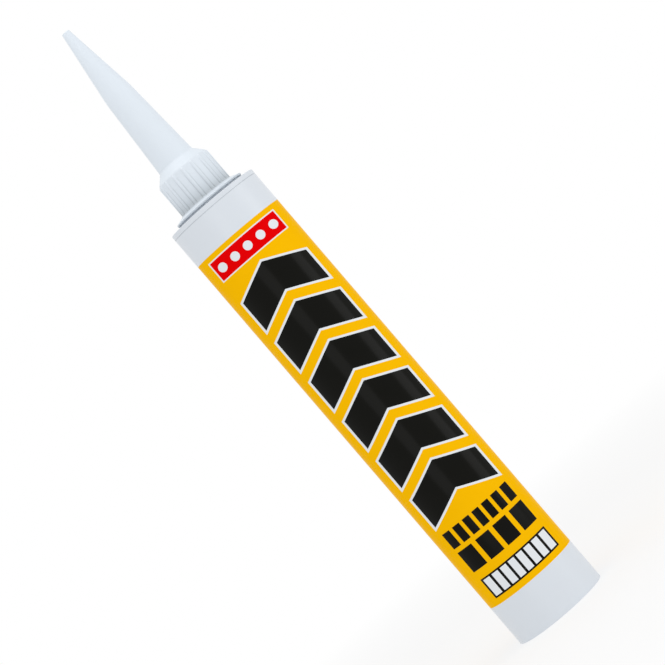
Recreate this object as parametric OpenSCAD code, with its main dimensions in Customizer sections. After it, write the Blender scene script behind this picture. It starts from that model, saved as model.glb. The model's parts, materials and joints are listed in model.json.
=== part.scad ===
// Cartridge of sealant for a caulking gun, standing on its rear rim.
// Z runs up the axis from the middle of the rear rim to the nozzle's tip,
// and the printed front of the label faces -Y.

/* [Barrel] */
// Outside diameter of the extruded barrel
barrel_d = 50; // [48:0.5:56]
// Wall of the barrel
barrel_wall = 1.7; // [1.4:0.1:2.2]
// Length of the barrel, from its rear rim to the seat of the front cap
barrel_l = 253.1; // [235:0.05:290]
// Bevel round each cut end of the barrel
barrel_bevel = 0.15; // [0.1:0.05:0.3]

/* [Front cap] */
// Thickness of the cap's rim, which seats on the end of the barrel
cap_rim_t = 2.55; // [1.8:0.05:3]
// Radius that rounds the rim's upper edge
cap_rim_round = 0.3; // [0.2:0.1:0.8]
// Width of the flat land round the top of the rim
cap_land_w = 3.5; // [3:0.1:4.5]
// Depth of the ring-shaped recess inside the land
cap_recess_depth = 3; // [2:0.1:5]
// Wall of the cap's panel, collar and plug
cap_wall = 1.8; // [1.4:0.1:2.2]
// Depth to which the plug reaches into the barrel
cap_plug_depth = 9; // [6:0.5:14]
// Gap between the plug and the barrel's wall
cap_plug_gap = 0.05; // [0.02:0.01:0.1]
// Diameter of the collar that the nozzle seats on
collar_d = 36; // [34:0.5:38]
// Height of the collar's seat above the rim
collar_rise = 1.25; // [0.8:0.05:2]

/* [Neck] */
// Diameter over the crests of the neck's thread
neck_d = 24; // [22:0.25:25]
// Depth of the thread
thread_depth = 1; // [0.6:0.1:1.2]
// Height of the neck above the collar's seat
neck_h = 15; // [12:0.5:16]
// Diameter of the bore through the neck
neck_bore_d = 17; // [12:0.5:18]
// Thickness of the foil that seals the neck
foil_t = 0.3; // [0.2:0.05:0.5]
// Width of neck wall left bare round the foil
foil_margin = 0.3; // [0.1:0.1:0.6]
// Depth to which sealing pressed the foil's rim
foil_press = 0.1; // [0.05:0.05:0.15]

/* [Nozzle skirt] */
// Diameter of the flange at the foot of the nozzle
flange_d = 39.6; // [38:0.2:40.6]
// Thickness of the flange at its edge
flange_edge_t = 1; // [0.8:0.05:1.5]
// Rise of the flange's sloping top, from its edge to the skirt
flange_rise = 1.9; // [1.4:0.1:2.8]
// Undercut of the flange's edge
flange_undercut = 0.25; // [0.1:0.05:0.4]
// Outside diameter of the skirt between its ribs
skirt_d = 28.6; // [28:0.1:30]
// Height from the seat to the edge of the shoulder
skirt_h = 20.4; // [19:0.1:24]
// Gap between the thread's crests and the bore of the skirt
skirt_gap = 0.3; // [0.2:0.05:0.5]
// Radius of the fillet between skirt and flange
skirt_fillet = 0.9; // [0.5:0.1:1.4]
// Number of grip ribs round the skirt
rib_count = 16; // [12:1:20]
// Radius of each rib's round back
rib_r = 0.9; // [0.7:0.05:1.1]
// Height by which a rib stands out of the skirt
rib_proud = 0.55; // [0.3:0.05:0.65]
// Height from a rib's top to the edge of the shoulder
rib_stop = 0.3; // [0.3:0.1:1.5]
// Angle at which the nozzle came to rest when it was screwed home
rib_turn = -0.6; // [-11:0.1:11]

/* [Nozzle cone] */
// Height of the sloping shoulder above the skirt
shoulder_h = 4.7; // [3.5:0.1:6]
// Diameter at the foot of the cone
cone_foot_d = 20; // [18:0.2:22]
// Diameter where the cone steepens towards the tip
cone_knee_d = 14.8; // [12:0.2:16.5]
// Height of the lower cone, from the shoulder to the knee
cone_lower_h = 42.4; // [30:0.2:50]
// Height of the upper cone, from the knee to the tip
cone_upper_h = 38.6; // [30:0.2:50]
// Diameter of the flat tip
tip_d = 4.2; // [3.6:0.1:6]
// Diameter of the hole at the tip
tip_bore_d = 2.2; // [1.6:0.1:2.4]
// Wall of the lower cone and the shoulder
cone_wall = 1.2; // [0.9:0.1:1.5]
// Radius that softens the shoulder's edges
shoulder_round = 0.6; // [0.6:0.1:2]

/* [Piston and filling] */
// Distance from the rear rim to the piston's rear edge
piston_recess = 28; // [20:1:40]
// Height of the piston
piston_h = 18; // [14:0.5:24]
// Wall of the piston
piston_wall = 1.3; // [1:0.1:1.8]
// Running gap between the piston's lips and the barrel
piston_gap = 0.1; // [0.05:0.01:0.15]
// Height of each sealing lip
lip_h = 2.4; // [1.6:0.1:3]
// Depth by which the piston's side is set in from its lips
lip_depth = 0.6; // [0.4:0.1:1]
// Number of webs inside the piston
web_count = 8; // [4:1:12]
// Thickness of each web
web_t = 1.1; // [0.8:0.1:1.6]
// Height of the webs behind the piston's face
web_h = 8; // [4:0.5:9]
// Outside diameter of the piston's inner ring
piston_ring_d = 15; // [10:0.5:20]
// Gap that keeps the soft filling clear of the parts round it
fill_gap = 0.3; // [0.2:0.05:0.4]

/* [Label] */
// Thickness of the label film moulded into the barrel's surface
film_t = 0.2; // [0.15:0.01:0.3]
// Bare barrel left behind the label
label_rear_margin = 22.5; // [15:0.1:35]
// Bare barrel left between the label and the cap's seat
label_front_margin = 16.6; // [10:0.05:30]
// Gap between the film's two ends, at the back of the barrel
label_seam = 0.8; // [0.4:0.1:2]
// Yellow margin at each end of the print
print_margin = 3.2; // [2:0.1:6]
// Gap between neighbouring groups of the print
print_gap = 4.6; // [3:0.1:8]
// Half of the print's width, seen from the front
print_half_w = 19.6; // [15:0.1:21]
// Height of the red bar
red_bar_h = 10.2; // [7:0.1:14]
// Width of the red bar's white keyline
red_keyline_w = 0.6; // [0.4:0.1:1]
// Number of white dots in the red bar
dot_count = 5; // [3:1:6]
// Diameter of each dot
dot_d = 4.6; // [3:0.1:6]
// Thickness of each chevron, measured along the barrel
chevron_t = 17; // [10:0.5:18]
// Rise of a chevron from its ends to its point
chevron_rise = 9; // [4:0.5:14]
// Spacing of the chevrons along the barrel
chevron_pitch = 24.5; // [21.5:0.1:30]
// Width of the chevrons' white keylines
keyline_w = 1.1; // [0.5:0.1:1.4]
// Height of the row of slim blocks
slim_block_h = 9; // [5:0.5:12]
// Number of slim blocks in the row
slim_block_count = 7; // [3:1:9]
// Gap between the slim blocks
slim_block_gap = 1.8; // [1:0.1:3]
// Height of the row of wide blocks
wide_block_h = 12; // [6:0.5:16]
// Number of wide blocks in the row
wide_block_count = 4; // [2:1:6]
// Gap between the wide blocks
wide_block_gap = 2.4; // [1.5:0.1:4]
// Height of the black strip that holds white uprights
strip_h = 11.5; // [8:0.5:16]
// Black border left round the uprights
strip_border = 0.9; // [0.5:0.1:1.4]
// Number of white uprights in the strip
upright_count = 8; // [4:1:10]
// Gap between the uprights
upright_gap = 1.3; // [0.8:0.1:2]

/* [Hidden] */
$fn = 96;
// Overlap that carries a cutting shape past the face it cuts
over = 1;

barrel_r = barrel_d / 2;
bore_r = barrel_r - barrel_wall;
rim_top = barrel_l + cap_rim_t;

collar_r = collar_d / 2;
recess_r = barrel_r - cap_land_w;
recess_floor = rim_top - cap_recess_depth;
cap_underside = recess_floor - cap_wall;
plug_r = bore_r - cap_plug_gap;
seat_z = rim_top + collar_rise;

neck_root_r = neck_d / 2 - thread_depth;
neck_bore_r = neck_bore_d / 2;
neck_top = seat_z + neck_h;
neck_bevel = (neck_root_r - neck_bore_r) / 3;

skirt_r = skirt_d / 2;
skirt_bore_r = neck_d / 2 + skirt_gap;
flange_r = flange_d / 2;
flange_top = seat_z + flange_edge_t;
shoulder_z = seat_z + skirt_h;
cone_z = shoulder_z + shoulder_h;
knee_z = cone_z + cone_lower_h;
tip_z = knee_z + cone_upper_h;
cone_foot_r = cone_foot_d / 2;
cone_knee_r = cone_knee_d / 2;
tip_r = tip_d / 2;
rib_axis_r = skirt_r + rib_proud - rib_r;
rib_foot = flange_top + flange_rise / 2;
rib_top = shoulder_z - rib_stop - rib_r;

piston_front = piston_recess + piston_h;
piston_r = bore_r - piston_gap;
piston_side_r = piston_r - lip_depth;
piston_inner_r = piston_side_r - piston_wall;
piston_floor = piston_front - piston_wall;

label_bottom = label_rear_margin;
label_top = barrel_l - label_front_margin;
red_bar_z = label_top - print_margin - red_bar_h;
strip_z = label_bottom + print_margin;
wide_block_z = strip_z + strip_h + print_gap;
slim_block_z = wide_block_z + wide_block_h + print_gap / 2;
chevron_first_z = slim_block_z + slim_block_h + print_gap;
chevron_room = red_bar_z - print_gap - chevron_first_z;
chevron_count = 1 + floor((chevron_room - chevron_t - chevron_rise) / chevron_pitch);
// Number of steps in each drawn arc of a profile
arc_steps = 6;

function arc(r, z, radius, from, to) =
    [for (i = [0 : arc_steps])
        let (a = from + (to - from) * i / arc_steps)
        [r + radius * cos(a), z + radius * sin(a)]];

// Quadratic curve that rounds the corner b between the points a and c
function rounded(a, b, c, reach) =
    let (start = b + (a - b) * reach / norm(a - b),
         end = b + (c - b) * reach / norm(c - b))
    [for (i = [0 : arc_steps])
        let (t = i / arc_steps)
        start * (1 - t) * (1 - t) + b * 2 * t * (1 - t) + end * t * t];

module tube(outer_r, inner_r, from, to) {
    translate([0, 0, from]) difference() {
        cylinder(h = to - from, r = outer_r);
        translate([0, 0, -over]) cylinder(h = to - from + 2 * over, r = inner_r);
    }
}

module barrel() {
    color("#DCE2E8") difference() {
        rotate_extrude() polygon([
            [bore_r, 0],
            [barrel_r - barrel_bevel, 0],
            [barrel_r, barrel_bevel],
            [barrel_r, barrel_l - barrel_bevel],
            [barrel_r - barrel_bevel, barrel_l],
            [bore_r, barrel_l]]);
        film();
    }
}

// The cap is moulded to an even wall, so the collar is hollow from below.
module front_cap() {
    core_outer_r = collar_r - cap_wall;
    core_inner_r = neck_bore_r + cap_wall + thread_depth;
    plug_inner_r = plug_r - cap_wall;
    color("#DCE2E8") rotate_extrude() polygon(concat(
        [[barrel_r - barrel_bevel, barrel_l],
         [barrel_r, barrel_l + barrel_bevel]],
        arc(barrel_r - cap_rim_round, rim_top - cap_rim_round, cap_rim_round, 0, 90),
        [[recess_r, rim_top],
         [recess_r, recess_floor],
         [collar_r, recess_floor],
         [collar_r, seat_z],
         [neck_root_r, seat_z],
         [neck_root_r, neck_top - neck_bevel],
         [neck_root_r - neck_bevel, neck_top],
         [neck_bore_r, neck_top],
         [neck_bore_r, cap_underside],
         [core_inner_r, cap_underside],
         [core_inner_r, seat_z - cap_wall],
         [core_outer_r, seat_z - cap_wall],
         [core_outer_r, cap_underside],
         [plug_inner_r, cap_underside],
         [plug_inner_r, barrel_l - cap_plug_depth],
         [plug_r - cap_wall / 2, barrel_l - cap_plug_depth],
         [plug_r, barrel_l - cap_plug_depth + cap_wall],
         [plug_r, barrel_l]]));
}

// The foil is pressed thinner towards its rim, where it is sealed to the neck.
module foil_seal() {
    foil_r = neck_root_r - neck_bevel - foil_margin;
    foil_top = neck_top + foil_t;
    color("#C8CACC") rotate_extrude() polygon([
        [0, neck_top],
        [foil_r, neck_top],
        [foil_r, foil_top - foil_press],
        [neck_bore_r, foil_top],
        [0, foil_top]]);
}

// Nozzle: a flange and ribbed skirt, a shoulder, and a cone of two slopes.
module nozzle() {
    bore_top = shoulder_z - cone_wall;
    foot_bore_r = cone_foot_r - cone_wall;
    knee_bore_r = cone_knee_r - cone_wall;
    flange_slope = [flange_r, flange_top];
    flange_root = [skirt_r, flange_top + flange_rise];
    shoulder_edge = [skirt_r, shoulder_z];
    cone_foot = [cone_foot_r, cone_z];
    cone_knee = [cone_knee_r, knee_z];
    color("#E4EBF2") {
        rotate_extrude() polygon(concat(
            [[skirt_bore_r, seat_z],
             [flange_r - flange_undercut, seat_z],
             flange_slope],
            rounded(flange_slope, flange_root, shoulder_edge, skirt_fillet),
            rounded(flange_root, shoulder_edge, cone_foot, shoulder_round),
            rounded(shoulder_edge, cone_foot, cone_knee, shoulder_round),
            [cone_knee,
             [tip_r, tip_z],
             [tip_bore_d / 2, tip_z],
             [knee_bore_r, knee_z],
             [foot_bore_r, cone_z - cone_wall / 2],
             [skirt_bore_r, bore_top]]));
        for (i = [0 : rib_count - 1])
            rotate([0, 0, -90 + rib_turn + i * 360 / rib_count])
                translate([rib_axis_r, 0, 0]) grip_rib();
    }
}

module grip_rib() {
    translate([0, 0, rib_foot]) cylinder(h = rib_top - rib_foot, r = rib_r, $fn = 32);
    translate([0, 0, rib_top]) sphere(r = rib_r, $fn = 32);
}

// Piston: a cup, open to the rear, with a sealing lip at each end of its side
module piston() {
    color("#E9EEF2") {
        rotate_extrude() polygon([
            [0, piston_floor],
            [piston_inner_r, piston_floor],
            [piston_inner_r, piston_recess],
            [piston_side_r, piston_recess],
            [piston_r, piston_recess + lip_h / 3],
            [piston_r, piston_recess + lip_h * 2 / 3],
            [piston_side_r, piston_recess + lip_h],
            [piston_side_r, piston_front - lip_h * 4 / 3],
            [piston_r, piston_front - lip_h],
            [piston_r, piston_front - lip_h * 2 / 3],
            [piston_side_r, piston_front],
            [0, piston_front]]);
        tube(piston_ring_d / 2, piston_ring_d / 2 - piston_wall,
             piston_floor - web_h, piston_floor);
        for (i = [0 : web_count - 1])
            rotate([0, 0, (i + 0.5) * 360 / web_count])
                translate([piston_ring_d / 2 - piston_wall / 2, -web_t / 2, piston_floor - web_h])
                    cube([piston_inner_r - piston_ring_d / 2 + piston_wall, web_t, web_h]);
    }
}

// The filling stands between the piston and the cap and rises into the neck.
module sealant() {
    color("#E6DFCC") {
        translate([0, 0, piston_front + fill_gap])
            cylinder(h = barrel_l - cap_plug_depth - piston_front - 2 * fill_gap,
                     r = bore_r - fill_gap);
        translate([0, 0, piston_front + fill_gap])
            cylinder(h = cap_underside - piston_front - 2 * fill_gap,
                     r = plug_r - cap_wall - fill_gap);
        translate([0, 0, piston_front + fill_gap])
            cylinder(h = neck_top - piston_front - 2 * fill_gap, r = neck_bore_r - fill_gap);
    }
}

// Wrapped film, with its two ends a seam's width apart
module film() {
    difference() {
        tube(barrel_r, barrel_r - film_t, label_bottom, label_top);
        translate([-label_seam / 2, 0, label_bottom - over])
            cube([label_seam, barrel_r + over, label_top - label_bottom + 2 * over]);
    }
}

// Lays a flat outline on the front of the film: its Y becomes the height.
module on_film() {
    intersection() {
        tube(barrel_r, barrel_r - film_t, label_bottom, label_top);
        rotate([90, 0, 0]) linear_extrude(height = barrel_r + over) children();
    }
}

module bar_outline(z, h, grow = 0) {
    translate([-print_half_w - grow, z - grow])
        square([2 * (print_half_w + grow), h + 2 * grow]);
}

// Row of equal blocks across the print, set in from its sides by the inset
module row_outline(z, h, count, gap, inset = 0) {
    row_w = 2 * (print_half_w - inset);
    block_w = (row_w - (count - 1) * gap) / count;
    for (i = [0 : count - 1])
        translate([-row_w / 2 + i * (block_w + gap), z]) square([block_w, h]);
}

module chevron_outline(z, grow = 0) {
    slope = chevron_rise / print_half_w;
    w = print_half_w + grow;
    lift = grow * sqrt(1 + slope * slope);
    low = z - slope * grow;
    mid = z + chevron_rise;
    polygon([[-w, low - lift], [0, mid - lift], [w, low - lift],
             [w, low + chevron_t + lift], [0, mid + chevron_t + lift],
             [-w, low + chevron_t + lift]]);
}

module chevron_outlines(grow = 0) {
    for (i = [0 : chevron_count - 1])
        chevron_outline(chevron_first_z + i * chevron_pitch, grow);
}

module block_outlines() {
    row_outline(slim_block_z, slim_block_h, slim_block_count, slim_block_gap);
    row_outline(wide_block_z, wide_block_h, wide_block_count, wide_block_gap);
}

module upright_outlines() {
    row_outline(strip_z + strip_border, strip_h - 2 * strip_border, upright_count, upright_gap,
                strip_border);
}

module dot_outlines() {
    dot_pitch = 2 * print_half_w / dot_count;
    for (i = [0 : dot_count - 1])
        translate([(i + 0.5) * dot_pitch - print_half_w, red_bar_z + red_bar_h / 2])
            circle(d = dot_d);
}

module red_print() {
    difference() {
        bar_outline(red_bar_z, red_bar_h);
        dot_outlines();
    }
}

module black_print() {
    chevron_outlines();
    block_outlines();
    difference() {
        bar_outline(strip_z, strip_h);
        upright_outlines();
    }
}

module white_print() {
    difference() {
        bar_outline(red_bar_z, red_bar_h, red_keyline_w);
        bar_outline(red_bar_z, red_bar_h);
    }
    dot_outlines();
    difference() {
        chevron_outlines(keyline_w);
        chevron_outlines();
    }
    upright_outlines();
}

module label_film() {
    color("#F5B800") difference() {
        film();
        rotate([90, 0, 0]) linear_extrude(height = barrel_r + over) {
            bar_outline(red_bar_z, red_bar_h, red_keyline_w);
            chevron_outlines(keyline_w);
            block_outlines();
            bar_outline(strip_z, strip_h);
        }
    }
}

module label_red() {
    color("#E00000") on_film() red_print();
}

module label_white() {
    color("#E4E8EC") on_film() white_print();
}

module label_black() {
    color("#16160F") on_film() black_print();
}

barrel();
front_cap();
foil_seal();
nozzle();
piston();
sealant();
label_film();
label_red();
label_white();
label_black();
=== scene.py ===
"""Models and finishes a cartridge of sealant for a caulking gun, and its stage.

The cartridge stands on its rear rim. Z runs up its axis, the printed front of
the label faces -Y, and every length is in metres.
"""

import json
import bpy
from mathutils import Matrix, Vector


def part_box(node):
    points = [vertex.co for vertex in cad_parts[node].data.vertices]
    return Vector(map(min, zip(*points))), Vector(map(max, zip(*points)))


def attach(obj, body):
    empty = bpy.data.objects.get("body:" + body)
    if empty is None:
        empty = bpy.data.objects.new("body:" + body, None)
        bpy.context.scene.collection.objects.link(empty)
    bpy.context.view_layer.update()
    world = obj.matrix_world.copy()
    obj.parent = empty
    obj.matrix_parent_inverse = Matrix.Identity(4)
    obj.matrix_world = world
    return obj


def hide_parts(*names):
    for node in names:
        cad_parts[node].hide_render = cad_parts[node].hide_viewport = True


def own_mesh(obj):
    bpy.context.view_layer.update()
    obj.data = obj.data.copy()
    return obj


bl_info = {
    "name": "Caulk Tube",
    "version": (1, 0, 0),
    "blender": (4, 5, 0),
    "location": "View3D > Sidebar > Caulk Tube",
    "description": "Models the nozzle, threads and paste of a sealant cartridge and finishes it",
    "category": "Add Mesh",
}

from math import atan2, cos, hypot, pi, radians, sin, sqrt, tau

import bmesh
import bpy
from bpy.props import FloatProperty, FloatVectorProperty, IntProperty, PointerProperty
from mathutils import Vector

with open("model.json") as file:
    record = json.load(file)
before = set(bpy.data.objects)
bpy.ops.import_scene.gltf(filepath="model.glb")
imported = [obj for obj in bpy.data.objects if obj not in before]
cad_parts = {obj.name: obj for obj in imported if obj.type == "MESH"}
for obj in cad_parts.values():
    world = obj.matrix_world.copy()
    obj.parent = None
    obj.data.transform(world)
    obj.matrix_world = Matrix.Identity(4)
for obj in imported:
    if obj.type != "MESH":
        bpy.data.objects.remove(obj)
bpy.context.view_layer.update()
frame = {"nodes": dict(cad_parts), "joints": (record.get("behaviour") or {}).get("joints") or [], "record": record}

MM = 0.001
NOZZLE_LOW, NOZZLE_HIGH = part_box("nozzle")
PASTE_LOW, PASTE_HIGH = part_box("sealant")
# The nozzle seats on the cap's collar.
SEAT = NOZZLE_LOW.z
# Top of the cap's rim, where a gun's front plate bears on it
CAP_RIM = next(m["pos_m"][2] for m in frame["record"]["mounts"] if m["name"] == "cap_land")
# Seam between the barrel and the cap, at the barrel's upper end
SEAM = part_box("barrel")[1].z

# Faces round a turned piece, round one grip rib's share of the skirt, and round one turn of a thread
ROUND_SEGMENTS = 128
RIB_SEGMENTS = 24
THREAD_STEPS = 64
# Faces along each rounded corner of an outline
CURVE_STEPS = 6
# Distance from the corner to the point that supports each end of a curve, as a share of its reach
SUPPORT = 1.2
# Reach of a rib to each side, as a share of the radius of its back
RIB_REACH = 1.6
# Width of the blend between a rib and the skirt
RIB_FILLET = 0.12 * MM
# Rows of points on the round top of a rib
RIB_TOP_ROWS = 3
# Depth to which a thread's root is sunk in its wall
THREAD_SINK = 0.1 * MM
# Arc over which a thread's ends run out, and the share of its section that is left there
RUN_OUT = tau / 8
RUN_OUT_LEFT = 0.12
# Share of painted shade at the skirt's foot, and how steeply it gathers there
SKIRT_SHADE = 0.6
SKIRT_FALL = 3.0
# Share of it in the creases beside the ribs, a crease's half-width, and the height over which it comes in
CREASE_SHADE = 0.38
CREASE_WIDTH = 0.38 * MM
CREASE_RUN = 6 * MM
# Share of it on the flange's edge, and the depths below the edge's corner where it starts and is full
FLANGE_SHADE = 0.28
FLANGE_SHADE_START = 0.3 * MM
FLANGE_SHADE_FULL = 0.8 * MM
# Share of it in the seam round the cap, and half of its width there
SEAM_SHADE = 0.45
SEAM_REACH = 0.3 * MM
# Radius of the first ring of a solid, and the distance within which its points merge at the axis
CENTRE = 0.002 * MM
MERGE = 3 * CENTRE
# Decimals that tell which points lie alike: of the metres up and out from the axis, of those across
# a rib, and of the radians along a thread
PLACE_DIGITS = 7
ACROSS_DIGITS = 6
ANGLE_DIGITS = 4
# Slack in a comparison
TINY = 1e-6

# The floor's size, its grey, and the light that it gives off
FLOOR_RADIUS = 8.0
FLOOR_SEGMENTS = 64
FLOOR_TINT = 0.4
FLOOR_LIFT = 0.58
# Distances from the axis between which the floor fades to plain white
FADE_START = 0.25
FADE_END = 0.7
# Height on the axis that the lamps face
AIM_LEVEL = 0.18
# Width of the camera's film in millimetres
FILM_WIDTH = 36
# Soft panels of light: azimuth from the camera's side towards +X, distance from the axis, size in
# metres, power in watts, and level above the floor
SOFTBOXES = {
    "right_softbox": dict(
        azimuth=radians(69), distance=0.6, width=0.24, height=0.36, power=0.46, level=0.16
    ),
    "front_softbox": dict(
        azimuth=radians(-13), distance=0.6, width=0.26, height=0.34, power=0.29, level=0.15
    ),
    "top_softbox": dict(azimuth=0, distance=0.12, width=0.5, height=0.5, power=1.2, level=0.8),
}


def linear(hex_colour):
    """An sRGB hex colour as the linear values that a shader takes, by the sRGB curve."""
    parts = [int(hex_colour[i : i + 2], 16) / 255 for i in (0, 2, 4)]
    return tuple(c / 12.92 if c <= 0.04045 else ((c + 0.055) / 1.055) ** 2.4 for c in parts)


def length(name, about, default):
    """A length in metres that a user may change."""
    return FloatProperty(
        name=name, description=about, default=default, min=0, precision=5, subtype="DISTANCE", unit="LENGTH"
    )


def colour(name, about, hex_colour):
    """A colour that a user may change."""
    return FloatVectorProperty(
        name=name, description=about, default=linear(hex_colour), min=0, max=1, subtype="COLOR"
    )


class NozzleSizes(bpy.types.PropertyGroup):
    """Sizes of the screw-on nozzle, heights counted from its seat."""

    flange_undercut: length("Flange undercut", "Slope of the flange's edge", 0.25 * MM)
    flange_edge: length("Flange edge", "Thickness of the flange at its edge", 1 * MM)
    flange_rise: length("Flange rise", "Rise of the flange's sloping top", 1.9 * MM)
    skirt_radius: length("Skirt radius", "Outside of the skirt between its ribs", 14.3 * MM)
    skirt_bore: length("Skirt bore", "Inside radius of the skirt", 12.3 * MM)
    skirt_height: length("Skirt height", "Height of the shoulder's edge", 20.4 * MM)
    shoulder_rise: length("Shoulder rise", "Height of the sloping shoulder", 4.7 * MM)
    foot_radius: length("Cone foot radius", "Outside of the cone at its foot", 10 * MM)
    knee_radius: length("Cone knee radius", "Outside of the cone where it steepens", 7.4 * MM)
    knee_height: length("Knee height", "Height of the knee above the cone's foot", 42.4 * MM)
    tip_radius: length("Tip radius", "Outside of the flat tip", 2.1 * MM)
    tip_bore: length("Tip bore", "Radius of the hole at the tip", 1.1 * MM)
    wall: length("Wall", "Wall of the cone and the shoulder", 1.2 * MM)
    skirt_fillet: length("Skirt fillet", "Reach of the curve between skirt and flange", 0.9 * MM)
    shoulder_round: length("Shoulder round", "Reach of the curves that soften the shoulder", 0.6 * MM)
    edge_round: length("Edge round", "Reach of the curves at the flange's edge and the tip", 0.18 * MM)
    knee_round: length("Knee round", "Reach of the curve where the cone steepens", 2.5 * MM)
    bore_round: length("Bore round", "Reach of the curves inside the shoulder", 0.9 * MM)
    rib_count: IntProperty(name="Ribs", description="Number of grip ribs", default=16, min=4)
    rib_radius: length("Rib radius", "Radius of a rib's round back", 0.9 * MM)
    rib_proud: length("Rib height", "Height by which a rib stands out of the skirt", 0.55 * MM)
    rib_stop: length("Rib stop", "Gap between a rib's top and the shoulder's edge", 0.3 * MM)
    turn: FloatProperty(
        name="Turn",
        description="Angle at which the nozzle came to rest when it was screwed home",
        default=radians(-0.6),
        subtype="ANGLE",
        unit="ROTATION",
    )


class ThreadSizes(bpy.types.PropertyGroup):
    """Sizes of the thread between the neck and the nozzle."""

    pitch: length("Pitch", "Rise of the thread in one turn", 3 * MM)
    neck_root: length("Neck root", "Radius of the neck between its threads", 11 * MM)
    neck_crest: length("Neck crest", "Radius over the neck's threads", 12 * MM)
    nozzle_crest: length("Nozzle crest", "Radius inside the nozzle's threads", 11.35 * MM)
    root_width: length("Root width", "Width of a thread at its root", 1.5 * MM)
    crest_width: length("Crest width", "Width of a thread at its crest", 0.6 * MM)
    first: length("Start", "Height of the first turn above the seat", 3.2 * MM)
    turns: IntProperty(name="Turns", description="Number of turns", default=3, min=1)


class PasteSizes(bpy.types.PropertyGroup):
    """Sizes of the paste where it fills the cap and the neck."""

    head_radius: length("Head radius", "Outside of the paste inside the cap's plug", 21.1 * MM)
    neck_radius: length("Neck radius", "Outside of the paste in the neck", 8.2 * MM)
    panel_depth: length("Panel depth", "Depth from the cap's rim to the paste under its panel", 5.1 * MM)
    edge_round: length("Edge round", "Reach of the curves round the paste's edges", 0.6 * MM)


class TubeColours(bpy.types.PropertyGroup):
    """Colours of the plastics, the inks, the filling and the painted shade."""

    barrel: colour("Barrel", "Extruded barrel and moulded cap", "D7DDE4")
    nozzle: colour("Nozzle", "Moulded nozzle", "DDE5ED")
    piston: colour("Piston", "Moulded piston", "E6EAEC")
    yellow: colour("Label yellow", "Ground colour of the label", "F6B904")
    red: colour("Label red", "Bar at the top of the label", "E20306")
    keyline: colour("Label white", "White lines, dots and uprights of the label", "E2E6EA")
    black: colour("Label black", "Black print of the label", "0C0C08")
    foil: colour("Foil", "Rolled aluminium seal", "C6CBD0")
    paste: colour("Paste", "Sealant in the barrel", "E8E2D2")
    # Grey of the painted shade at the skirt's foot and creases, on the flange's edge and in the seam
    shadow: colour("Shade", "Grey of the skirt's foot and creases, the flange's edge and the seam", "9AA1A5")


class StageValues(bpy.types.PropertyGroup):
    """Camera and light of the stage."""

    aim_x: length("Aim across", "Point that the camera faces, across from the axis", 3.55 * MM)
    aim_z: length("Aim height", "Height of the point that the camera faces", 171.3 * MM)
    distance: length("Distance", "Distance from the camera to the axis", 1.39)
    lens: FloatProperty(name="Lens", description="Focal length in millimetres", default=157.6, min=1)
    roll: FloatProperty(
        name="Roll",
        description="Turn of the camera about its view",
        default=radians(40.64),
        subtype="ANGLE",
        unit="ROTATION",
    )
    ambient: FloatProperty(
        name="Ambient", description="Strength of the white surroundings as light", default=0.755, min=0
    )


def begin():
    """Nothing may be selected when a new piece is started."""
    if bpy.context.object and bpy.context.object.mode == "EDIT":
        bpy.ops.object.mode_set(mode="OBJECT")
    bpy.ops.object.select_all(action="DESELECT")


def place_mesh(name):
    """Names the new object and moves its place into its mesh."""
    made = bpy.context.object
    made.name = made.data.name = name
    bpy.ops.object.transform_apply(location=True, rotation=True, scale=True)
    return made


def edit(piece):
    """Starts edit mode with all of the piece selected."""
    bpy.context.view_layer.objects.active = piece
    bpy.ops.object.mode_set(mode="EDIT")
    bpy.ops.mesh.select_mode(type="VERT")
    bpy.ops.mesh.select_all(action="SELECT")


def pick(piece, test):
    """In edit mode, selects the vertices whose place passes the test."""
    shape = bmesh.from_edit_mesh(piece.data)
    for vertex in shape.verts:
        vertex.select = bool(test(vertex.co))
    shape.select_flush_mode()
    bmesh.update_edit_mesh(piece.data)


def finish_piece(piece, body, material, smooth=30):
    """Ends edit mode, turns the faces outwards and gives the piece its body, slot and finish.

    Faces that meet at less than `smooth` degrees are shaded as one.
    """
    bpy.ops.mesh.select_all(action="SELECT")
    bpy.ops.mesh.normals_make_consistent(inside=False)
    bpy.ops.object.mode_set(mode="OBJECT")
    bpy.ops.object.shade_smooth_by_angle(angle=radians(smooth))
    dress(piece, material)
    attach(piece, body)


def dress(piece, material):
    """Gives every slot of the piece the one material."""
    piece.data.materials.clear()
    piece.data.materials.append(material)


def softened(corners):
    """Closed outline through corners (r, z, reach): each is rounded over its reach.

    A point just outside each end of a curve supports it, so the stretch beyond shades as straight.
    """
    outline = []
    for i, (r, z, reach) in enumerate(corners):
        corner = Vector((r, z))
        if not reach:
            outline.append(corner)
            continue
        back, ahead = (
            (Vector(beside[:2]) - corner).normalized() * reach
            for beside in (corners[i - 1], corners[(i + 1) % len(corners)])
        )
        outline.append(corner + back * SUPPORT)
        for k in range(CURVE_STEPS + 1):
            t = k / CURVE_STEPS
            outline.append(corner + back * (1 - t) ** 2 + ahead * t**2)
        outline.append(corner + ahead * SUPPORT)
    return outline


def draw_round(name, outline, segments, closed=True):
    """Draws a wall up from one circle, ring by ring, and leaves the piece in edit mode."""
    begin()
    r, z = outline[0]
    bpy.ops.mesh.primitive_circle_add(vertices=segments, radius=r, location=(0, 0, z))
    piece = place_mesh(name)
    edit(piece)
    for next_r, next_z in outline[1:]:
        bpy.ops.mesh.extrude_edges_move(TRANSFORM_OT_translate={"value": (0, 0, next_z - z)})
        grow = next_r / r
        bpy.ops.transform.resize(value=(grow, grow, 1), center_override=(0, 0, next_z))
        r, z = next_r, next_z
    if closed:
        bpy.ops.mesh.select_all(action="DESELECT")
        bpy.ops.mesh.select_non_manifold()
        bpy.ops.mesh.bridge_edge_loops()
    return piece


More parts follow.
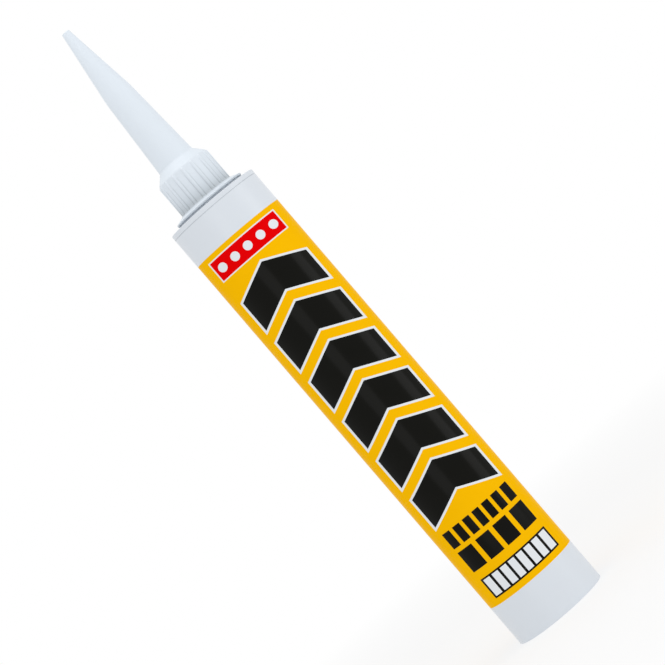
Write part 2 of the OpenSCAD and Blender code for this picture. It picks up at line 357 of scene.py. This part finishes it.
def raise_ribs(piece, sizes):
    """Pushes columns of the skirt's wall out into ribs with a round back and a round top."""
    axis_r = sizes.skirt_radius + sizes.rib_proud - sizes.rib_radius
    foot = SEAT + sizes.flange_edge + sizes.flange_rise / 2
    top = SEAT + sizes.skirt_height - sizes.rib_stop - sizes.rib_radius
    spacing = tau / sizes.rib_count
    reach = RIB_REACH * sizes.rib_radius
    shape = bmesh.from_edit_mesh(piece.data)
    shape.verts.ensure_lookup_table()
    columns = {}
    for vertex in shape.verts:
        x, y, z = vertex.co
        r = hypot(x, y)
        turned = (atan2(y, x) + pi / 2 + spacing / 2) % spacing - spacing / 2
        across = sizes.skirt_radius * abs(turned)
        if r > sizes.skirt_radius - sizes.wall / 2 and foot < z < top + sizes.rib_radius and across < reach:
            place = (round(z, PLACE_DIGITS), round(across, ACROSS_DIGITS), round(r, PLACE_DIGITS))
            columns.setdefault(place, []).append(vertex.index)
    for (z, across, r), members in columns.items():
        room = sizes.rib_radius**2 - across**2 - max(0, z - top) ** 2
        back = axis_r + (sqrt(room) if room > 0 else -sqrt(-room))
        # A smooth maximum of the skirt and the rib's back blends the two where they meet.
        blended = (r + back + hypot(r - back, RIB_FILLET)) / 2
        for vertex in shape.verts:
            vertex.select = False
        for index in members:
            shape.verts[index].select = True
        shape.select_flush_mode()
        bmesh.update_edit_mesh(piece.data)
        bpy.ops.transform.resize(value=(blended / r, blended / r, 1), center_override=(0, 0, z))
        shape = bmesh.from_edit_mesh(piece.data)
        shape.verts.ensure_lookup_table()


class TUBE_OT_nozzle(bpy.types.Operator):
    """Models the nozzle as one hollow moulding: flange, ribbed skirt, shoulder and a cone of two slopes"""

    bl_idname = "tube.nozzle"
    bl_label = "Nozzle"
    bl_options = {"REGISTER", "UNDO"}

    def execute(self, context):
        s = context.scene.nozzle_sizes
        flange_r = NOZZLE_HIGH.x
        flange_top = SEAT + s.flange_edge
        shoulder = SEAT + s.skirt_height
        foot = shoulder + s.shoulder_rise
        knee = foot + s.knee_height
        tip = NOZZLE_HIGH.z
        rib_top = shoulder - s.rib_stop - s.rib_radius
        # The rows on the ribs' round tops go up to where the shoulder's curve starts.
        row = (shoulder - s.shoulder_round - rib_top) / RIB_TOP_ROWS
        rib_rows = [(s.skirt_radius, rib_top + row * k, 0) for k in range(RIB_TOP_ROWS)]
        outline = softened(
            [
                (s.skirt_bore, SEAT, s.edge_round),
                (flange_r - s.flange_undercut, SEAT, s.edge_round),
                (flange_r, flange_top, s.edge_round),
                (s.skirt_radius, flange_top + s.flange_rise, s.skirt_fillet),
                (s.skirt_radius, (flange_top + rib_top) / 2, 0),
                *rib_rows,
                (s.skirt_radius, shoulder, s.shoulder_round),
                (s.foot_radius, foot, s.shoulder_round),
                (s.knee_radius, knee, s.knee_round),
                (s.tip_radius, tip, s.edge_round),
                (s.tip_bore, tip, s.edge_round),
                (s.knee_radius - s.wall, knee, s.knee_round),
                (s.foot_radius - s.wall, foot - s.wall / 2, s.bore_round),
                (s.skirt_bore, shoulder - s.wall, s.bore_round),
            ]
        )
        nozzle = draw_round("nozzle_moulding", outline, s.rib_count * RIB_SEGMENTS)
        raise_ribs(nozzle, s)
        bpy.ops.object.mode_set(mode="OBJECT")
        nozzle.rotation_euler.z = s.turn
        bpy.ops.object.transform_apply(location=True, rotation=True, scale=True)
        edit(nozzle)
        finish_piece(nozzle, "nozzle", nozzle_plastic(context.scene), smooth=50)
        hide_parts("nozzle")
        return {"FINISHED"}


def draw_thread(name, root, crest, sizes, first):
    """Draws one helical thread from a four-sided section, its ends run out into the wall."""
    begin()
    sink = THREAD_SINK if crest > root else -THREAD_SINK
    bpy.ops.mesh.primitive_plane_add(size=1, location=(0, 0, 0), rotation=(pi / 2, 0, 0))
    ridge = place_mesh(name)
    edit(ridge)
    bpy.ops.mesh.delete(type="ONLY_FACE")
    for side, r, width in ((1, crest, sizes.crest_width), (-1, root - sink, sizes.root_width)):
        pick(ridge, lambda co: co.x * side > 0)
        bpy.ops.transform.resize(value=(1, 1, width), center_override=(0, 0, 0))
        bpy.ops.transform.translate(value=(r - side / 2, 0, first))
    bpy.ops.object.mode_set(mode="OBJECT")
    bpy.ops.object.modifier_add(type="SCREW")
    screw = ridge.modifiers[-1]
    screw.screw_offset = sizes.pitch
    screw.iterations = sizes.turns
    screw.steps = screw.render_steps = THREAD_STEPS
    screw.use_smooth_shade = False
    bpy.ops.object.modifier_apply(modifier=screw.name)
    edit(ridge)
    run_out(ridge, root, sizes, first)
    bpy.ops.mesh.select_all(action="DESELECT")
    for end in (first, first + sizes.pitch * sizes.turns):
        pick(ridge, lambda co: abs(co.y) < TINY and co.x > 0 and abs(co.z - end) < sizes.root_width / 2)
        bpy.ops.mesh.edge_face_add()
    return ridge


def run_out(ridge, root, sizes, first):
    """Draws the thread's ends in towards the root over the run-out's arc."""
    shape = bmesh.from_edit_mesh(ridge.data)
    shape.verts.ensure_lookup_table()
    stations = {}
    last = sizes.turns * tau
    for vertex in shape.verts:
        x, y, z = vertex.co
        angle = atan2(y, x) % tau
        level = (z - first) / sizes.pitch * tau
        station = angle + tau * round((level - angle) / tau)
        inward = min(station, last - station) / RUN_OUT
        if inward < 1 - TINY:
            stations.setdefault(round(station, ANGLE_DIGITS), [inward, []])[1].append(vertex.index)
    for station, (share, members) in stations.items():
        shape = bmesh.from_edit_mesh(ridge.data)
        shape.verts.ensure_lookup_table()
        for vertex in shape.verts:
            vertex.select = False
        for index in members:
            shape.verts[index].select = True
        shape.select_flush_mode()
        bmesh.update_edit_mesh(ridge.data)
        centre = (root * cos(station), root * sin(station), first + sizes.pitch * station / tau)
        size = max(share, RUN_OUT_LEFT)
        bpy.ops.transform.resize(value=(size, size, size), center_override=centre)


class TUBE_OT_threads(bpy.types.Operator):
    """Models the thread on the neck and the matching thread inside the nozzle"""

    bl_idname = "tube.threads"
    bl_label = "Threads"
    bl_options = {"REGISTER", "UNDO"}

    def execute(self, context):
        scene = context.scene
        s = scene.thread_sizes
        neck = draw_thread("neck_thread", s.neck_root, s.neck_crest, s, SEAT + s.first)
        finish_piece(neck, "cartridge", cap_plastic(scene), smooth=40)
        bore = scene.nozzle_sizes.skirt_bore
        start = SEAT + s.first + s.pitch / 2
        inner = draw_thread("nozzle_thread", bore, s.nozzle_crest, s, start)
        finish_piece(inner, "nozzle", nozzle_plastic(scene), smooth=40)
        return {"FINISHED"}


class TUBE_OT_paste(bpy.types.Operator):
    """Models the paste: a column that the piston squeezes, and what fills the cap and the neck"""

    bl_idname = "tube.paste"
    bl_label = "Paste"
    bl_options = {"REGISTER", "UNDO"}

    def execute(self, context):
        scene = context.scene
        joint = next(j for j in frame["joints"] if j["name"] == "piston_slide")
        fixed_end = joint["deforming_nodes"][0]["fixed_end_z_m"]
        s = scene.paste_sizes
        panel = CAP_RIM - s.panel_depth
        column_r = PASTE_HIGH.x
        column = draw_solid(
            "sealant_column",
            [(column_r, PASTE_LOW.z, s.edge_round), (column_r, fixed_end, s.edge_round)],
        )
        finish_piece(column, "cartridge", paste(scene))
        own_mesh(column)
        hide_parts("sealant")
        head = draw_solid(
            "sealant_head",
            [
                (s.head_radius, fixed_end, s.edge_round),
                (s.head_radius, panel, s.edge_round),
                (s.neck_radius, panel, s.edge_round),
                (s.neck_radius, PASTE_HIGH.z, s.edge_round),
            ],
        )
        finish_piece(head, "cartridge", paste(scene))
        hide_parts("sealant")
        return {"FINISHED"}


def draw_solid(name, corners):
    """Draws a turned solid with a flat foot and top."""
    first, last = corners[0], corners[-1]
    outline = softened([(CENTRE, first[1], 0), *corners, (CENTRE, last[1], 0)])
    piece = draw_round(name, outline, ROUND_SEGMENTS, closed=False)
    bpy.ops.mesh.select_all(action="SELECT")
    bpy.ops.mesh.remove_doubles(threshold=MERGE)
    return piece


def add(tree, kind, inputs=None, **settings):
    """Adds a node with its settings, and gives its inputs values or links.

    A node that is given as an input stands for its first output.
    """
    made = tree.nodes.new(kind)
    for setting, value in settings.items():
        setattr(made, setting, value)
    for name, value in (inputs or {}).items():
        if isinstance(value, bpy.types.Node):
            value = value.outputs[0]
        if isinstance(value, bpy.types.NodeSocket):
            tree.links.new(value, made.inputs[name])
        else:
            made.inputs[name].default_value = value
    return made


def new_material(name, **shader):
    """A material with one Principled shader, whose constant values are set on its sockets."""
    made = bpy.data.materials.new(name)
    made.use_nodes = True
    tree = made.node_tree
    tree.nodes.clear()
    principled = add(tree, "ShaderNodeBsdfPrincipled")
    for socket, value in shader.items():
        principled.inputs[socket.replace("_", " ")].default_value = value
    add(tree, "ShaderNodeOutputMaterial", {"Surface": principled})
    return made, tree, principled


def place_of(tree):
    """X, Y and Z of the point, each as an output."""
    where = add(tree, "ShaderNodeTexCoord").outputs["Object"]
    return add(tree, "ShaderNodeSeparateXYZ", {0: where}).outputs


def pattern(tree, size, stretch=(1, 1, 1), detail=3.0):
    """Noise whose grain is `size` metres across, stretched along the axes by `stretch`."""
    where = add(tree, "ShaderNodeTexCoord").outputs["Object"]
    scale = [1 / (size * s) for s in stretch]
    mapped = add(tree, "ShaderNodeMapping", {"Vector": where, "Scale": scale})
    return add(tree, "ShaderNodeTexNoise", {"Vector": mapped, "Scale": 1.0, "Detail": detail})


def cloud(tree, principled, base, size, spread):
    """Lets the base colour drift by `spread` to each side over `size` metres."""
    grain = pattern(tree, size, detail=2.0)
    drift = add(tree, "ShaderNodeMapRange", {"Value": grain, "To Min": 1 - spread, "To Max": 1 + spread})
    tinted = add(tree, "ShaderNodeVectorMath", {0: base, 1: drift}, operation="MULTIPLY").outputs[0]
    tree.links.new(tinted, principled.inputs["Base Color"])
    return tinted


def shade(tree, principled, base, share, tint):
    """Mixes the painted shade's tint into the base colour by the share."""
    # Inputs 6 and 7 and output 2 of the node are its colours.
    mix = add(tree, "ShaderNodeMix", {"Factor": share, 6: base, 7: (*tint, 1)}, data_type="RGBA")
    tree.links.new(mix.outputs[2], principled.inputs["Base Color"])
    return mix.outputs[2]


def relief(tree, principled, height, depth):
    """Bump `depth` metres deep, on top of any that the shader has."""
    bump = add(tree, "ShaderNodeBump", {"Strength": 1.0, "Distance": depth, "Height": height})
    for link in principled.inputs["Normal"].links:
        tree.links.new(link.from_socket, bump.inputs["Normal"])
    tree.links.new(bump.outputs[0], principled.inputs["Normal"])


def vary_gloss(tree, principled, height, low, high):
    """Lets the roughness follow a pattern between two values."""
    spread = add(tree, "ShaderNodeMapRange", {"Value": height, "To Min": low, "To Max": high})
    tree.links.new(spread.outputs[0], principled.inputs["Roughness"])


def shared(name):
    """A material that an earlier piece has made already, or None."""
    return bpy.data.materials.get(name)


def seam_painted_shade(tree):
    """Share of painted shade in the seam where the cap seats on the barrel."""
    away = add(tree, "ShaderNodeMath", {0: place_of(tree)[2], 1: SEAM}, operation="SUBTRACT")
    gap = add(tree, "ShaderNodeMath", {0: away}, operation="ABSOLUTE")
    return add(
        tree,
        "ShaderNodeMapRange",
        {"Value": gap, "From Max": SEAM_REACH, "To Min": SEAM_SHADE, "To Max": 0},
    )


def skirt_painted_shade(tree, sizes):
    """Share of painted shade on the outside of the skirt: it gathers at the foot and beside the ribs."""
    x, y, z = place_of(tree)
    foot = SEAT + sizes.flange_edge + sizes.flange_rise
    top = SEAT + sizes.skirt_height
    # Painted shade that darkens the skirt towards its foot, by the flange.
    down = add(tree, "ShaderNodeMapRange", {"Value": z, "From Min": top, "From Max": foot})
    gathered = add(tree, "ShaderNodeMath", {0: down, 1: SKIRT_FALL}, operation="POWER")
    # Painted shade in the creases beside each rib.
    turned = add(tree, "ShaderNodeMath", {0: y, 1: x}, operation="ARCTAN2")
    centred = add(tree, "ShaderNodeMath", {0: turned, 1: pi / 2 - sizes.turn}, operation="ADD")
    half = pi / sizes.rib_count
    beside = add(tree, "ShaderNodeMath", {0: centred, 1: half, 2: -half}, operation="WRAP")
    across = add(tree, "ShaderNodeMath", {0: beside}, operation="ABSOLUTE")
    reach = sqrt(sizes.rib_radius**2 - (sizes.rib_radius - sizes.rib_proud) ** 2)
    middle = (reach + CREASE_WIDTH / 2) / sizes.skirt_radius
    away = add(tree, "ShaderNodeMath", {0: across, 1: middle}, operation="SUBTRACT")
    gap = add(tree, "ShaderNodeMath", {0: away}, operation="ABSOLUTE")
    width = CREASE_WIDTH / sizes.skirt_radius
    near = add(tree, "ShaderNodeMapRange", {"Value": gap, "From Max": width, "To Min": 1, "To Max": 0})
    rib_end = top - 2 * sizes.rib_stop - sizes.rib_radius
    along = add(
        tree,
        "ShaderNodeMapRange",
        {"Value": z, "From Min": rib_end, "From Max": top - CREASE_RUN, "To Max": CREASE_SHADE},
    )
    crease = add(tree, "ShaderNodeMath", {0: near, 1: along}, operation="MULTIPLY")
    both = add(tree, "ShaderNodeMath", {0: gathered, 1: SKIRT_SHADE, 2: crease}, operation="MULTIPLY_ADD")
    # None of it reaches the flange's slope below, or the bore inside.
    below = foot - sizes.skirt_fillet
    above = add(tree, "ShaderNodeMapRange", {"Value": z, "From Min": below, "From Max": foot})
    flat = add(tree, "ShaderNodeCombineXYZ", {0: x, 1: y})
    radius = add(tree, "ShaderNodeVectorMath", {0: flat}, operation="LENGTH").outputs["Value"]
    wall = sizes.skirt_radius - sizes.wall / 2
    outside = add(tree, "ShaderNodeMath", {0: radius, 1: wall}, operation="GREATER_THAN")
    kept = add(tree, "ShaderNodeMath", {0: above, 1: outside}, operation="MULTIPLY")
    return add(tree, "ShaderNodeMath", {0: both, 1: kept}, operation="MULTIPLY")


def flange_painted_shade(tree, sizes):
    """Share of painted shade on the flange's edge, which slopes back; it grows towards the cap."""
    corner = SEAT + sizes.flange_edge
    start, full = corner - FLANGE_SHADE_START, corner - FLANGE_SHADE_FULL
    return add(
        tree,
        "ShaderNodeMapRange",
        {"Value": place_of(tree)[2], "From Min": start, "From Max": full, "To Max": FLANGE_SHADE},
    )


def barrel_plastic(scene):
    # Extruded high-density polyethylene: soft gloss with faint die lines along the barrel.
    name = "extruded white polyethylene"
    made, tree, shader = new_material(name, IOR=1.53, Specular_IOR_Level=0.45)
    base = cloud(tree, shader, scene.tube_colours.barrel, size=28 * MM, spread=0.008)
    # Painted shade in the seam where the cap meets the barrel.
    shade(tree, shader, base, seam_painted_shade(tree), scene.tube_colours.shadow)
    lines = pattern(tree, 0.7 * MM, stretch=(1, 1, 90))
    relief(tree, shader, lines, depth=0.004 * MM)
    vary_gloss(tree, shader, lines, low=0.3, high=0.42)
    return made


def cap_plastic(scene):
    # Moulded polyethylene: the steel's fine spark-eroded grain softens the gloss.
    name = "moulded white polyethylene"
    if shared(name):
        return shared(name)
    made, tree, shader = new_material(name, IOR=1.53, Specular_IOR_Level=0.45)
    base = cloud(tree, shader, scene.tube_colours.barrel, size=12 * MM, spread=0.008)
    # Painted shade in the seam where the cap meets the barrel.
    shade(tree, shader, base, seam_painted_shade(tree), scene.tube_colours.shadow)
    grain = pattern(tree, 0.25 * MM)
    relief(tree, shader, grain, depth=0.003 * MM)
    vary_gloss(tree, shader, grain, low=0.36, high=0.48)
    return made


def nozzle_plastic(scene):
    # Moulded low-density polyethylene: milky, slightly translucent, satin, with faint flow lines.
    name = "moulded translucent polyethylene"
    if shared(name):
        return shared(name)
    made, tree, shader = new_material(name, IOR=1.51, Specular_IOR_Level=0.4)
    tint = scene.tube_colours.shadow
    base = cloud(tree, shader, scene.tube_colours.nozzle, size=9 * MM, spread=0.01)
    # Painted shade at the skirt's foot and beside its ribs, and on the flange's edge.
    base = shade(tree, shader, base, skirt_painted_shade(tree, scene.nozzle_sizes), tint)
    shade(tree, shader, base, flange_painted_shade(tree, scene.nozzle_sizes), tint)
    flow = pattern(tree, 1.1 * MM, stretch=(1, 1, 14))
    relief(tree, shader, flow, depth=0.006 * MM)
    vary_gloss(tree, shader, flow, low=0.38, high=0.5)
    return made


def piston_plastic(scene):
    # Moulded natural polyethylene: waxy, a little coarser than the cap.
    made, tree, shader = new_material("moulded natural polyethylene", IOR=1.51, Specular_IOR_Level=0.4)
    cloud(tree, shader, scene.tube_colours.piston, size=8 * MM, spread=0.012)
    grain = pattern(tree, 0.5 * MM)
    relief(tree, shader, grain, depth=0.006 * MM)
    vary_gloss(tree, shader, grain, low=0.42, high=0.55)
    return made


def ink(name, base, specular):
    """Gravure ink under clear polypropylene film: even colour, low gloss, a faint orange-peel skin."""
    made, tree, shader = new_material(name, IOR=1.49, Specular_IOR_Level=specular)
    cloud(tree, shader, base, size=6 * MM, spread=0.012)
    skin = pattern(tree, 1.6 * MM, detail=2.0)
    relief(tree, shader, skin, depth=0.0025 * MM)
    vary_gloss(tree, shader, skin, low=0.16, high=0.2)
    return made


def foil(scene):
    # Rolled aluminium foil: bright, with fine rolling lines, and puckered where it was pressed on, with
    # painted lighter and darker patches in its colour that stand in for the reflections of its facets.
    made, tree, shader = new_material("rolled aluminium foil", Metallic=1.0)
    cloud(tree, shader, scene.tube_colours.foil, size=2.4 * MM, spread=0.3)
    lines = pattern(tree, 0.18 * MM, stretch=(40, 1, 1))
    relief(tree, shader, lines, depth=0.004 * MM)
    relief(tree, shader, pattern(tree, 2.4 * MM), depth=0.4 * MM)
    vary_gloss(tree, shader, lines, low=0.16, high=0.28)
    return made


def paste(scene):
    # Gun-grade sealing paste: smooth, off-white and faintly greasy, with filler grain.
    name = "gun-grade sealing paste"
    if shared(name):
        return shared(name)
    made, tree, shader = new_material(name, IOR=1.47, Specular_IOR_Level=0.45)
    cloud(tree, shader, scene.tube_colours.paste, size=7 * MM, spread=0.03)
    grain = pattern(tree, 0.35 * MM)
    relief(tree, shader, grain, depth=0.02 * MM)
    relief(tree, shader, pattern(tree, 6 * MM, stretch=(1, 1, 3)), depth=0.2 * MM)
    vary_gloss(tree, shader, grain, low=0.4, high=0.6)
    return made


class TUBE_OT_plastics(bpy.types.Operator):
    """Finishes the barrel, the front cap, the piston and the foil"""

    bl_idname = "tube.plastics"
    bl_label = "Plastics and Foil"
    bl_options = {"REGISTER", "UNDO"}

    def execute(self, context):
        scene = context.scene
        nodes = frame["nodes"]
        dress(nodes["barrel"], barrel_plastic(scene))
        dress(nodes["front_cap"], cap_plastic(scene))
        dress(nodes["piston"], piston_plastic(scene))
        dress(nodes["foil_seal"], foil(scene))
        return {"FINISHED"}


class TUBE_OT_label(bpy.types.Operator):
    """Finishes the label's film and its printed colours"""

    bl_idname = "tube.label"
    bl_label = "Label"
    bl_options = {"REGISTER", "UNDO"}

    def execute(self, context):
        tints = context.scene.tube_colours
        nodes = frame["nodes"]
        dress(nodes["label_film"], ink("yellow ink on film", tints.yellow, specular=0.003))
        dress(nodes["label_red"], ink("red ink on film", tints.red, specular=0.003))
        dress(nodes["label_white"], ink("white ink on film", tints.keyline, specular=0.05))
        dress(nodes["label_black"], ink("black ink on film", tints.black, specular=0.08))
        return {"FINISHED"}


def floor_material():
    # Back-lit matt acrylic: it keeps a faint soft shadow and goes to plain white away from the object.
    made = bpy.data.materials.new("back-lit studio floor")
    made.use_nodes = True
    tree = made.node_tree
    tree.nodes.clear()
    matt = add(tree, "ShaderNodeBsdfDiffuse", {"Color": (FLOOR_TINT, FLOOR_TINT, FLOOR_TINT, 1)})
    lift = add(tree, "ShaderNodeEmission", {"Color": (1, 1, 1, 1), "Strength": FLOOR_LIFT})
    near = add(tree, "ShaderNodeAddShader", {0: matt, 1: lift})
    white = add(tree, "ShaderNodeEmission", {"Color": (1, 1, 1, 1), "Strength": 1.0})
    place = add(tree, "ShaderNodeTexCoord").outputs["Object"]
    away = add(tree, "ShaderNodeVectorMath", {0: place}, operation="LENGTH").outputs["Value"]
    fade = add(tree, "ShaderNodeMapRange", {"Value": away, "From Min": FADE_START, "From Max": FADE_END})
    far = add(tree, "ShaderNodeMath", {0: fade, 1: looked_at(tree)}, operation="MULTIPLY")
    surface = add(tree, "ShaderNodeMixShader", {0: far, 1: near, 2: white})
    below = add(tree, "ShaderNodeNewGeometry").outputs["Backfacing"]
    clear = add(tree, "ShaderNodeBsdfTransparent")
    both = add(tree, "ShaderNodeMixShader", {0: below, 1: surface, 2: clear})
    add(tree, "ShaderNodeOutputMaterial", {"Surface": both})
    return made


def looked_at(tree):
    """One for rays that show the background: from the camera, a reflection or a transmission."""
    ray = add(tree, "ShaderNodeLightPath").outputs
    shown = ray["Is Camera Ray"]
    for kind in ("Is Glossy Ray", "Is Transmission Ray"):
        shown = add(tree, "ShaderNodeMath", {0: shown, 1: ray[kind]}, operation="MAXIMUM")
    return shown


def light_world(strength):
    """White surroundings: pure white to the camera, and plain soft light on the object."""
    world = bpy.data.worlds.new("white surroundings")
    bpy.context.scene.world = world
    world.use_nodes = True
    tree = world.node_tree
    tree.nodes.clear()
    lit = add(tree, "ShaderNodeMapRange", {"Value": looked_at(tree), "To Min": strength, "To Max": 1})
    white = add(tree, "ShaderNodeBackground", {"Color": (1, 1, 1, 1), "Strength": lit})
    add(tree, "ShaderNodeOutputWorld", {"Surface": white})


def softbox(name, azimuth, distance, width, height, power, level):
    """A soft panel of light that faces the axis, hidden from the camera itself."""
    begin()
    place = Vector((distance * sin(azimuth), -distance * cos(azimuth), level))
    aim = (Vector((0, 0, AIM_LEVEL)) - place).to_track_quat("-Z", "Y").to_euler()
    bpy.ops.object.light_add(type="AREA", location=place, rotation=aim)
    lamp = bpy.context.object
    lamp.name = lamp.data.name = name
    lamp.data.shape = "RECTANGLE"
    lamp.data.size, lamp.data.size_y = width, height
    lamp.data.energy = power
    lamp.visible_camera = False


class TUBE_OT_stage(bpy.types.Operator):
    """Builds the pale floor, the soft light and the camera at the photograph's viewing angle"""

    bl_idname = "tube.stage"
    bl_label = "Stage"
    bl_options = {"REGISTER", "UNDO"}

    def execute(self, context):
        s = context.scene.stage_values
        begin()
        bpy.ops.mesh.primitive_circle_add(
            vertices=FLOOR_SEGMENTS, radius=FLOOR_RADIUS, fill_type="NGON"
        )
        floor = place_mesh("studio_floor")
        dress(floor, floor_material())
        light_world(s.ambient)
        for name, values in SOFTBOXES.items():
            softbox(name, **values)
        place = (s.aim_x, -s.distance, s.aim_z)
        bpy.ops.object.camera_add(location=place, rotation=(pi / 2, s.roll, 0))
        camera = context.object
        camera.data.lens = s.lens
        camera.data.sensor_width = FILM_WIDTH
        context.scene.camera = camera
        context.scene.view_settings.view_transform = "Standard"
        return {"FINISHED"}


class TUBE_PT_panel(bpy.types.Panel):
    """Lists the steps that build the cartridge's looks, and its sizes and colours"""

    bl_label = "Caulk Tube"
    bl_idname = "TUBE_PT_panel"
    bl_space_type = "VIEW_3D"
    bl_region_type = "UI"
    bl_category = "Caulk Tube"

    def draw(self, context):
        layout = self.layout
        layout.use_property_split = True
        for step in STEPS:
            layout.operator(step.bl_idname)
        for holder in GROUPS:
            box = layout.box()
            values = getattr(context.scene, holder)
            for key in values.__annotations__:
                box.prop(values, key)


STEPS = (TUBE_OT_stage, TUBE_OT_plastics, TUBE_OT_label, TUBE_OT_nozzle, TUBE_OT_threads, TUBE_OT_paste)
GROUPS = {
    "nozzle_sizes": NozzleSizes,
    "thread_sizes": ThreadSizes,
    "paste_sizes": PasteSizes,
    "tube_colours": TubeColours,
    "stage_values": StageValues,
}


def register():
    for item in (*GROUPS.values(), *STEPS, TUBE_PT_panel):
        bpy.utils.register_class(item)
    for holder, group in GROUPS.items():
        setattr(bpy.types.Scene, holder, PointerProperty(type=group))


def unregister():
    for holder in GROUPS:
        delattr(bpy.types.Scene, holder)
    for item in reversed((*GROUPS.values(), *STEPS, TUBE_PT_panel)):
        bpy.utils.unregister_class(item)


def main():
    register()
    bpy.ops.tube.stage()
    bpy.ops.tube.plastics()
    bpy.ops.tube.label()
    bpy.ops.tube.nozzle()
    bpy.ops.tube.threads()
    bpy.ops.tube.paste()


if __name__ == "__main__":
    main()
